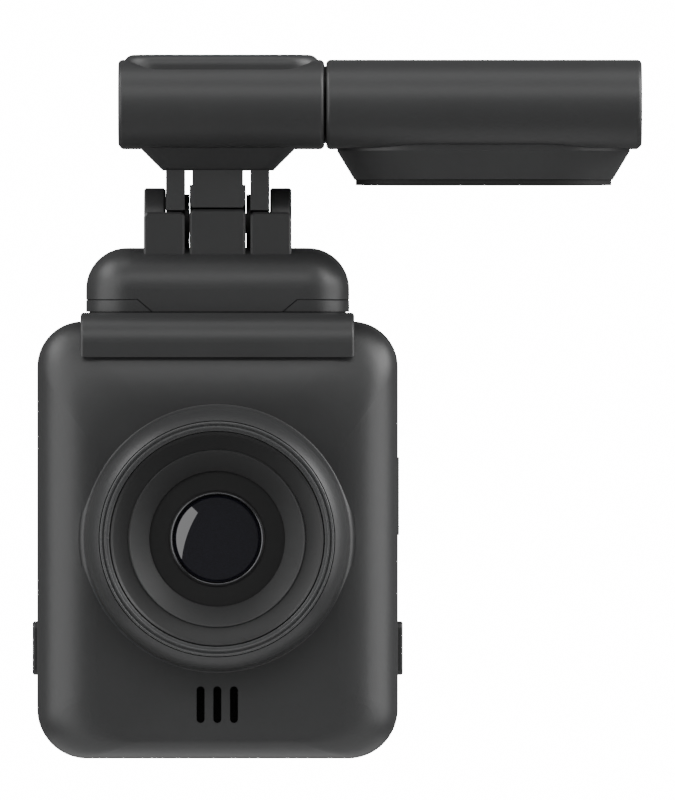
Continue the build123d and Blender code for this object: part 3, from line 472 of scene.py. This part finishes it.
# %% Retainer
retainer_outer = (retainer_high.x - retainer_low.x) / 2
rim_radius = (glass_high.x - glass_low.x) / 2 - 0.8 * MM
retainer_face = retainer_low.y
retainer = turned(
    "glass_retainer",
    [
        (retainer_outer + 0.03 * MM, retainer_face + 0.26 * MM),
        (retainer_outer + 0.03 * MM, retainer_high.y),
        (rim_radius, retainer_high.y),
        (rim_radius, retainer_face + 0.62 * MM),
        (rim_radius + 0.10 * MM, retainer_face + 0.50 * MM),
        (rim_radius + 0.16 * MM, retainer_face + 0.12 * MM),
        (rim_radius + 0.34 * MM, retainer_face),
        (rim_radius + 0.52 * MM, retainer_face + 0.10 * MM),
        (rim_radius + 0.66 * MM, retainer_face + 0.26 * MM),
    ],
    annulus_finish,
)
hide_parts("lens_retainer")

# %% Polished rim round the glass
turned(
    "glass_rim",
    [
        (rim_radius + 0.38 * MM, retainer_face + 0.14 * MM),
        (rim_radius + 0.31 * MM, retainer_face),
        (rim_radius + 0.20 * MM, retainer_face - 0.05 * MM),
        (rim_radius + 0.09 * MM, retainer_face),
        (rim_radius + 0.02 * MM, retainer_face + 0.14 * MM),
        (rim_radius + 0.20 * MM, retainer_face + 0.24 * MM),
    ],
    rim_finish,
)

# %% Front element
DOME_SAG = 1.55 * MM
DOME_RINGS = 14
dome_edge = rim_radius - 0.08 * MM
dome_radius = (dome_edge**2 + DOME_SAG**2) / (2 * DOME_SAG)
dome_front = glass_low.y
dome = [
    (radius, dome_front + dome_radius - (dome_radius**2 - radius**2) ** 0.5)
    for radius in [dome_edge * part / DOME_RINGS for part in range(DOME_RINGS, 0, -1)]
]
element = turned(
    "front_element",
    [(dome_edge, retainer_high.y)] + dome + [(dome_edge * 0.02, dome_front)],
    glass_finish,
    solid=True,
)
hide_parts("front_glass")

# %% [markdown]
# ## Small things on the back and front
# The rear keys carry plain signs: a triangle to the side, one up, one down, and a dot for confirming. They
# are generic and have no letters. Each is raised, so it has a real edge. A woven cloth lies behind the
# sound slots and keeps dust off the speaker.

# %% Signs on the rear keys
SIGN_RISE, SIGN_ROOT = 0.12 * MM, 0.05 * MM


def sign(name, key, corners, size, turn=0.0):
    """A small flat plate with a bevelled edge, standing on a key's face."""
    key_low, key_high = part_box(key)
    clear_selection()
    bpy.ops.mesh.primitive_circle_add(
        vertices=corners,
        radius=size,
        fill_type="NGON",
        location=((key_low.x + key_high.x) / 2, key_high.y - SIGN_ROOT, (key_low.z + key_high.z) / 2),
        rotation=(radians(-90), radians(turn), 0),
    )
    piece = bpy.context.object
    bpy.ops.object.mode_set(mode="EDIT")
    bpy.ops.mesh.select_all(action="SELECT")
    bpy.ops.mesh.extrude_region_move()
    bpy.ops.transform.translate(value=(0, SIGN_RISE + SIGN_ROOT, 0))
    bpy.ops.mesh.inset(thickness=0.05 * MM, depth=0.03 * MM)
    settle(piece, name, sign_finish, key, smooth=25)


sign("sign_back", "rear_key_1", 3, 1.3 * MM, turn=30)
sign("sign_up", "rear_key_2", 3, 1.3 * MM, turn=0)
sign("sign_down", "rear_key_3", 3, 1.3 * MM, turn=180)
sign("sign_confirm", "rear_key_4", 40, 1.1 * MM)

# %% [markdown]
# ## Seal between the dock and the camera
# A thin soft seal under the dock closes the narrow gap above the camera. It is an assumed piece, with no node
# of its own in the CAD. It is a plate with rounded corners whose middle is cut out by an inset, then given
# its thickness.

# %% Dock seal
SEAL_MARGIN, SEAL_BAND, SEAL_THICKNESS = 0.5 * MM, 2.4 * MM, 0.13 * MM
SEAL_CORNER = 6.4 * MM
dock_low, dock_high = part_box("dock_base_plate")
seal_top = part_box("dock_upper_shell")[0].z
saddle_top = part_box("camera_saddle")[1].z
clear_selection()
bpy.ops.mesh.primitive_plane_add(
    size=1, location=((dock_low.x + dock_high.x) / 2, (dock_low.y + dock_high.y) / 2, seal_top)
)
seal = bpy.context.object
seal.scale = (
    dock_high.x - dock_low.x - 2 * SEAL_MARGIN,
    dock_high.y - dock_low.y - 2 * SEAL_MARGIN,
    1,
)
bpy.ops.object.transform_apply(location=True, rotation=True, scale=True)
bpy.ops.object.mode_set(mode="EDIT")
bpy.ops.mesh.select_all(action="SELECT")
bpy.ops.mesh.bevel(offset=SEAL_CORNER, offset_type="OFFSET", segments=10, affect="VERTICES")
bpy.ops.mesh.select_mode(type="FACE")
bpy.ops.mesh.select_all(action="SELECT")
bpy.ops.mesh.inset(thickness=SEAL_BAND, depth=0)
bpy.ops.mesh.delete(type="FACE")
bpy.ops.mesh.select_all(action="SELECT")
bpy.ops.mesh.extrude_region_move()
bpy.ops.transform.translate(value=(0, 0, -SEAL_THICKNESS))
settle(seal, "dock_seal", rubber_finish, "dock")
print("gap left over the saddle", round((seal_top - SEAL_THICKNESS - saddle_top) / MM, 3), "mm")

# %% Cloth behind the sound slots
CLOTH_HALF_WIDTH, CLOTH_HALF_HEIGHT, CLOTH_THICKNESS = 4.6 * MM, 3.4 * MM, 0.25 * MM
CLOTH_GAP, CLOTH_RISE = 1.4 * MM, 5.0 * MM
speaker_low, speaker_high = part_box("speaker")
clear_selection()
bpy.ops.mesh.primitive_grid_add(
    x_subdivisions=26,
    y_subdivisions=18,
    size=2,
    location=((speaker_low.x + speaker_high.x) / 2, speaker_low.y - CLOTH_GAP, speaker_low.z + CLOTH_RISE),
    rotation=(radians(90), 0, 0),
)
cloth = bpy.context.object
cloth.scale = (CLOTH_HALF_WIDTH, CLOTH_HALF_HEIGHT, 1)
bpy.ops.object.transform_apply(location=False, rotation=False, scale=True)
bpy.ops.object.modifier_add(type="SOLIDIFY")
cloth.modifiers["Solidify"].thickness = CLOTH_THICKNESS
bpy.ops.object.modifier_apply(modifier="Solidify")
settle(cloth, "grille_cloth", cloth_finish, "camera")

# %% [markdown]
# ## Finishes on the CAD nodes
# Each carried-over node keeps its mesh and takes a finish from the record's slot that it belongs to.

# %% Give each node its finish
slot_finish = {
    "housing": housing_finish,
    "key_plastic": key_finish,
    "adhesive": tape_finish,
    "flap_rubber": rubber_finish,
    "steel": steel_finish,
    "bearing_nylon": nylon_finish,
    "magnet": nickel_finish,
    "contact_metal": gold_finish,
    "circuit_board": board_finish,
    "antenna_ceramic": ceramic_finish,
    "lens_trim": trim_finish,
    "lens_cone": cone_finish,
    "lens_black": anodised_finish,
    "lens_glass": glass_finish,
    "chip": chip_finish,
    "display": panel_finish,
    "window": window_finish,
    "battery_foil": foil_finish,
    "speaker_body": anodised_finish,
}
node_slot = {entry["node"]: entry["material_slot"] for entry in frame["record"]["subparts"]}
mount_nodes = ("pad_plate", "arm_shell", "head_shell", "head_top_cover")
for name, piece in nodes.items():
    finish = mount_finish if name in mount_nodes else slot_finish[node_slot[name]]
    piece.data.materials.clear()
    piece.data.materials.append(finish)
print("finished nodes", len(nodes))

# %% [markdown]
# ## Stage, light and camera
# The object hangs over a pale disc in a room that only the camera sees as white. Two large soft lights at the
# sides draw the bands on the rounded edges of the housing, and smaller ones above and below shape the mount.
# Some of this is stagecraft: the fill light and the floor don't show in reflections, and the key light skips
# the front glass.

# %% Pale floor
low, high = cad_box
middle = (low + high) / 2
FLOOR_DROP = 0.035
FLOOR_RADIUS = 0.30
floor_made, floor_shader, place = finish_named("pale_floor")
paper = noise(place, 12.0, 4.0, 0.6)
feed(floor_shader, Base_Color=paper.mix(grey(0.80), grey(0.84)), Roughness=paper * 0.1 + 0.75)
clear_selection()
bpy.ops.mesh.primitive_circle_add(
    vertices=96,
    radius=FLOOR_RADIUS,
    fill_type="NGON",
    location=(middle.x, middle.y, low.z - FLOOR_DROP),
)
floor = bpy.context.object
floor.name = "floor"
floor.data.materials.append(floor_made)
bpy.ops.object.transform_apply(location=True, rotation=True, scale=True)
floor.visible_glossy = False


# %% Soft lights
def soft_light(name, place, aim, size, power):
    lamp = bpy.data.lights.new(name, "AREA")
    lamp.shape = "RECTANGLE"
    lamp.size, lamp.size_y = size
    lamp.energy = power
    holder = bpy.data.objects.new(name, lamp)
    bpy.context.scene.collection.objects.link(holder)
    holder.location = place
    holder.rotation_mode = "QUATERNION"
    holder.rotation_quaternion = (Vector(aim) - Vector(place)).to_track_quat("-Z", "Y")
    return holder


def bank(name, azimuth, elevation, distance, size, radiance, roll=0.0, glossy=True):
    """A soft light given by its direction from the object, its size and how bright its face is."""
    turn, lift = radians(azimuth), radians(elevation)
    place = middle + distance * Vector((sin(turn) * cos(lift), -cos(turn) * cos(lift), sin(lift)))
    holder = soft_light(name, place, middle, size, radiance * pi * size[0] * size[1])
    holder.rotation_quaternion = holder.rotation_quaternion @ Quaternion((0, 0, 1), radians(roll))
    holder.visible_camera = False
    holder.visible_glossy = glossy
    return holder


# Each bank: azimuth and elevation in degrees, distance and size in metres, and radiance.
bank("left_bank", -64, 9, 0.9, (0.94, 1.2), 2.4, roll=-17)
bank("right_bank", 79, 9, 0.9, (0.86, 1.1), 2.6)
key_bank = bank("key_bank", 0, 36, 1.0, (0.8, 0.34), 2.6)
bank("overhead", 0, 78, 0.9, (1.0, 0.4), 1.8)
bank("upper_left", -90, 42, 0.9, (0.42, 0.42), 5.0)
bank("upper_right", 82, 36, 0.9, (0.62, 0.62), 5.4)
bank("front_fill", 4, 18, 1.5, (0.9, 0.9), 1.3, glossy=False)
LOW_BANK_X, LOW_BANK_DROP, LOW_BANK_SIZE, LOW_BANK_POWER = -0.04, 0.03, (0.14, 0.12), 0.034
low_place = (LOW_BANK_X, 0.0, low.z - LOW_BANK_DROP)
low_bank = soft_light("low_bank", low_place, (LOW_BANK_X, 0.0, 0.0), LOW_BANK_SIZE, LOW_BANK_POWER)
low_bank.visible_camera = False

# %% Keep the key light's patch off the lens
# The coated front element shows only the left light, so the key light skips it.
no_key = bpy.data.collections.new("without_key_light")
no_key.objects.link(element)
key_bank.light_linking.receiver_collection = no_key
no_key.collection_objects[0].light_linking.link_state = "EXCLUDE"

# %% White room
# Rays from the camera see white, and the light that the room sends onto the object is dim.
world = bpy.data.worlds.new("studio")
bpy.context.scene.world = world
world.use_nodes = True
room = Wire(world.node_tree, None)
seen = room.node("ShaderNodeLightPath", output=0)
glow = world.node_tree.nodes["Background"]
glow.inputs["Color"].default_value = (1, 1, 1, 1)
ROOM_LIGHT, ROOM_SEEN = 0.14, 16.0
strength = seen * (ROOM_SEEN - ROOM_LIGHT) + ROOM_LIGHT
world.node_tree.links.new(strength.socket, glow.inputs["Strength"])

# %% Camera square to the front
# The view is 120 mm high at the depth of the mount's front edges.
VIEW_HEIGHT = 0.120
VIEW_X, VIEW_Z = -0.02198, -0.03233
SHARP_DEPTH = -0.013
FOCAL_LENGTH = 1100.0
lens = bpy.data.cameras.new("front_view")
lens.lens = FOCAL_LENGTH
lens.clip_end = 20.0
eye = bpy.data.objects.new("front_view", lens)
bpy.context.scene.collection.objects.link(eye)
eye.location = (VIEW_X, SHARP_DEPTH - VIEW_HEIGHT * lens.lens / lens.sensor_width, VIEW_Z)
eye.rotation_euler = (radians(90), 0, 0)
bpy.context.scene.camera = eye
